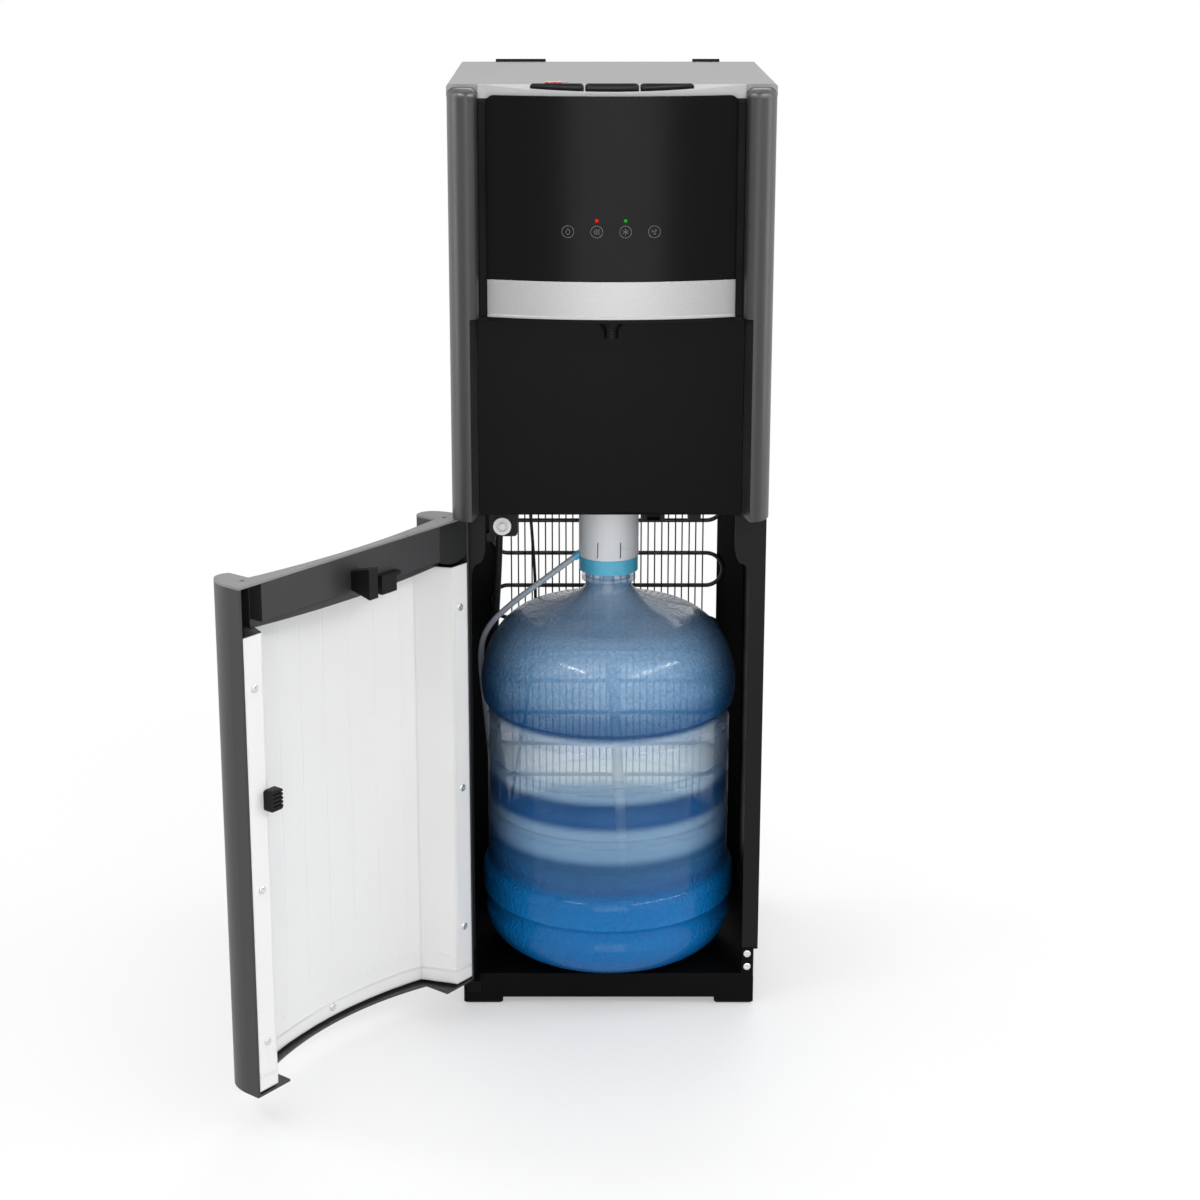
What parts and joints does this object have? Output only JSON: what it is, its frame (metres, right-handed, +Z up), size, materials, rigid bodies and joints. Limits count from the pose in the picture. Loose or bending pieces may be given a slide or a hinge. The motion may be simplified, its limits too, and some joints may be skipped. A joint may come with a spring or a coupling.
{
  "type": "bottom load water cooler",
  "caption": "Floor standing water cooler with a dispensing alcove above and a hinged door open on the water bottle in its lower compartment.",
  "frame": {"origin": "underside of the base's middle support pad, on the floor under the centre of the cabinet", "axes": "+Z up, -Y out of the front, +X to the right as seen from the front"},
  "size_m": [0.5298, 0.5423, 0.9873],
  "materials": {
    "base_black": "satin",
    "side_steel": "satin",
    "inner_steel": "satin",
    "rear_steel": "satin",
    "galvanised": "matte",
    "top_silver": "satin",
    "column_grey": "metallic satin",
    "head_grey": "satin",
    "deck_silver": "satin",
    "panel_black": "gloss",
    "led_clear": "gloss",
    "band_silver": "satin",
    "alcove_black": "satin",
    "spout_black": "satin",
    "button_black": "satin",
    "lock_red": "satin",
    "tank_steel": "satin",
    "foam_white": "matte",
    "compressor_black": "gloss",
    "rubber_black": "matte",
    "relay_grey": "matte",
    "valve_white": "matte",
    "board_green": "satin",
    "condenser_paint": "satin",
    "ring_white": "satin",
    "screw_steel": "gloss",
    "hose_clear": "satin",
    "lead_black": "satin",
    "rocker_black": "gloss",
    "bottle_blue": "gloss",
    "water_clear": "gloss",
    "probe_white": "satin",
    "collar_teal": "satin",
    "door_cap_grey": "satin",
    "rail_black": "satin",
    "liner_white": "satin",
    "tray_black": "satin"
  },
  "bodies": {
    "cabinet": {"alcove_shell": "alcove_black", "base_tray": "base_black", "button_deck": "deck_silver", "cold_tank": "tank_steel", "cold_tank_jacket": "foam_white", "compressor": "compressor_black", "compressor_grommets": "rubber_black", "condenser_clips": "condenser_paint", "condenser_tube": "condenser_paint", "condenser_wires": "condenser_paint", "control_board": "board_green", "control_panel": "panel_black", "cord_gland": "base_black", "door_sensor": "base_black", "flange_screws": "screw_steel", "front_column_left": "column_grey", "front_column_right": "column_grey", "hanger_ring": "ring_white", "head_frame": "head_grey", "hinge_plates": "galvanised", "hot_tank": "tank_steel", "inner_walls": "inner_steel", "latch_keeper": "base_black", "probe_hanger": "base_black", "pump_lead": "lead_black", "rear_panel": "rear_steel", "relay_box": "relay_grey", "riser_hose": "hose_clear", "shelf_plate": "inner_steel", "side_panel_left": "side_steel", "side_panel_right": "side_steel", "solenoid_valves": "valve_white", "status_leds": "led_clear", "suction_hose": "hose_clear", "switch_plate": "base_black", "tank_shelf": "galvanised", "top_cover": "top_silver", "trim_band": "band_silver", "water_pump": "base_black", "water_spout": "spout_black"},
    "door": {"door_skin": "column_grey", "door_cap": "door_cap_grey", "door_rail": "rail_black", "latch_hook": "rail_black", "door_liner": "liner_white", "liner_catch": "rail_black", "door_screws": "screw_steel"},
    "tray": {"drip_tray": "tray_black"},
    "grille": {"drip_grille": "tray_black"},
    "bottle_load": {"bottle": "bottle_blue", "water": "water_clear", "probe_tube": "probe_white", "cap_collar": "collar_teal", "probe_cap": "probe_white"},
    "hot_key": {"button_hot": "button_black"},
    "cold_key": {"button_cold": "button_black"},
    "room_key": {"button_room": "button_black"},
    "lock_tab": {"child_lock": "lock_red"},
    "heating_rocker": {"rocker_heating": "rocker_black"},
    "cooling_rocker": {"rocker_cooling": "rocker_black"}
  },
  "joints": [
    {"name": "door_hinge", "type": "hinge", "parent": "cabinet", "child": "door", "pos_m": [-0.155, -0.122, 0.035], "axis": [0, 0, -1], "range_deg": [-128, 0]},
    {"name": "bottle_slide", "type": "slide", "parent": "cabinet", "child": "bottle_load", "axis": [0, -1, 0], "range_m": [0, 0.3]},
    {"name": "hot_press", "type": "slide", "parent": "cabinet", "child": "hot_key", "axis": [0, 0, -1], "range_m": [0, 0.0025], "stiffness_N_per_m": 400, "springref_m": -0.0015},
    {"name": "cold_press", "type": "slide", "parent": "cabinet", "child": "cold_key", "axis": [0, 0, -1], "range_m": [0, 0.0025], "stiffness_N_per_m": 400, "springref_m": -0.0015},
    {"name": "room_press", "type": "slide", "parent": "cabinet", "child": "room_key", "axis": [0, 0, -1], "range_m": [0, 0.0025], "stiffness_N_per_m": 400, "springref_m": -0.0015},
    {"name": "child_lock_slide", "type": "slide", "parent": "cabinet", "child": "lock_tab", "axis": [1, 0, 0], "range_m": [0, 0.006]},
    {"name": "heating_switch", "type": "hinge", "parent": "cabinet", "child": "heating_rocker", "pos_m": [0.11, 0.161, 0.8723], "axis": [1, 0, 0], "range_deg": [-8, 8]},
    {"name": "cooling_switch", "type": "hinge", "parent": "cabinet", "child": "cooling_rocker", "pos_m": [0.11, 0.161, 0.9023], "axis": [1, 0, 0], "range_deg": [-8, 8]},
    {"name": "tray_slide", "type": "slide", "parent": "door", "child": "tray", "axis": [-0.788, 0.6157, 0], "range_m": [0, 0.05]},
    {"name": "grille_lift", "type": "slide", "parent": "tray", "child": "grille", "axis": [0, 0, 1], "range_m": [0, 0.02]}
  ]
}
